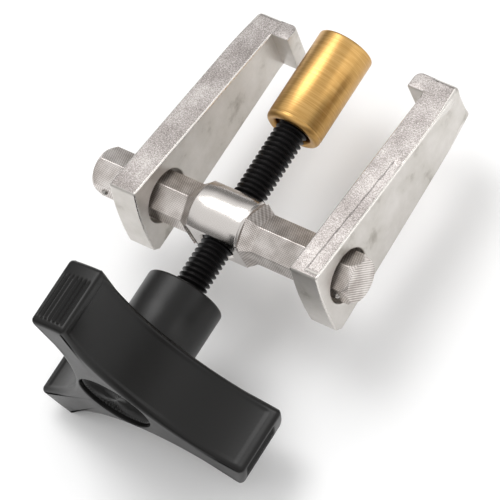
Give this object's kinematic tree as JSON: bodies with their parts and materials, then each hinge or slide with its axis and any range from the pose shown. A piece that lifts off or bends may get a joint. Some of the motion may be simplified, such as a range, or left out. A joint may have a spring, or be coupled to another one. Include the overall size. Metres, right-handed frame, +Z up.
{
  "type": "two-jaw hand puller",
  "caption": "Hand puller: hooked jaws slide on a hexagonal crossbar, and a screw with a lobed knob pushes a loose brass tip between them.",
  "frame": {"origin": "middle of the brass tip's pressing face", "axes": "+X along the crossbar, +Y along the screw and out of the tip, +Z up with the puller lying on its back"},
  "size_m": [0.0884, 0.1221, 0.0712],
  "materials": {
    "machined_steel": "machined and bright plated, satin on the bar and polished on the boss",
    "plated_casting": "satin nickel plate over a cast surface",
    "black_oxide_steel": "black oxide, slightly oily",
    "turned_brass": "fine turned",
    "spring_steel": "bright",
    "black_plastic": "moulded, half gloss"
  },
  "bodies": {
    "crossbar": {"crossbar": "machined_steel", "stop_pin_left": "spring_steel", "stop_pin_right": "spring_steel"},
    "jaw_left": {"jaw_left": "plated_casting"},
    "jaw_right": {"jaw_right": "plated_casting"},
    "tip": {"pressure_tip": "turned_brass", "thrust_ball": "spring_steel", "retaining_ring": "spring_steel"},
    "screw": {"spindle": "black_oxide_steel", "knob": "black_plastic", "knob_cap": "black_plastic"}
  },
  "joints": [
    {"name": "jaw_left_slide", "type": "slide", "parent": "crossbar", "child": "jaw_left", "axis": [-1, 0, 0], "range_m": [-0.008, 0.0114]},
    {"name": "jaw_right_slide", "type": "slide", "parent": "crossbar", "child": "jaw_right", "axis": [1, 0, 0], "range_m": [-0.0166, 0.0028]},
    {"name": "tip_feed", "type": "slide", "parent": "crossbar", "child": "tip", "axis": [0, 1, 0], "range_m": [-0.0237, 0.015]},
    {"name": "spindle_turn", "type": "hinge", "parent": "tip", "child": "screw", "pos_m": [0, -0.0613, 0], "axis": [0, 1, 0], "range_deg": [-5360, 3380]}
  ],
  "couplings": [
    {"joint": "tip_feed", "follows": "spindle_turn", "m_per_rad": 0.00025266}
  ]
}
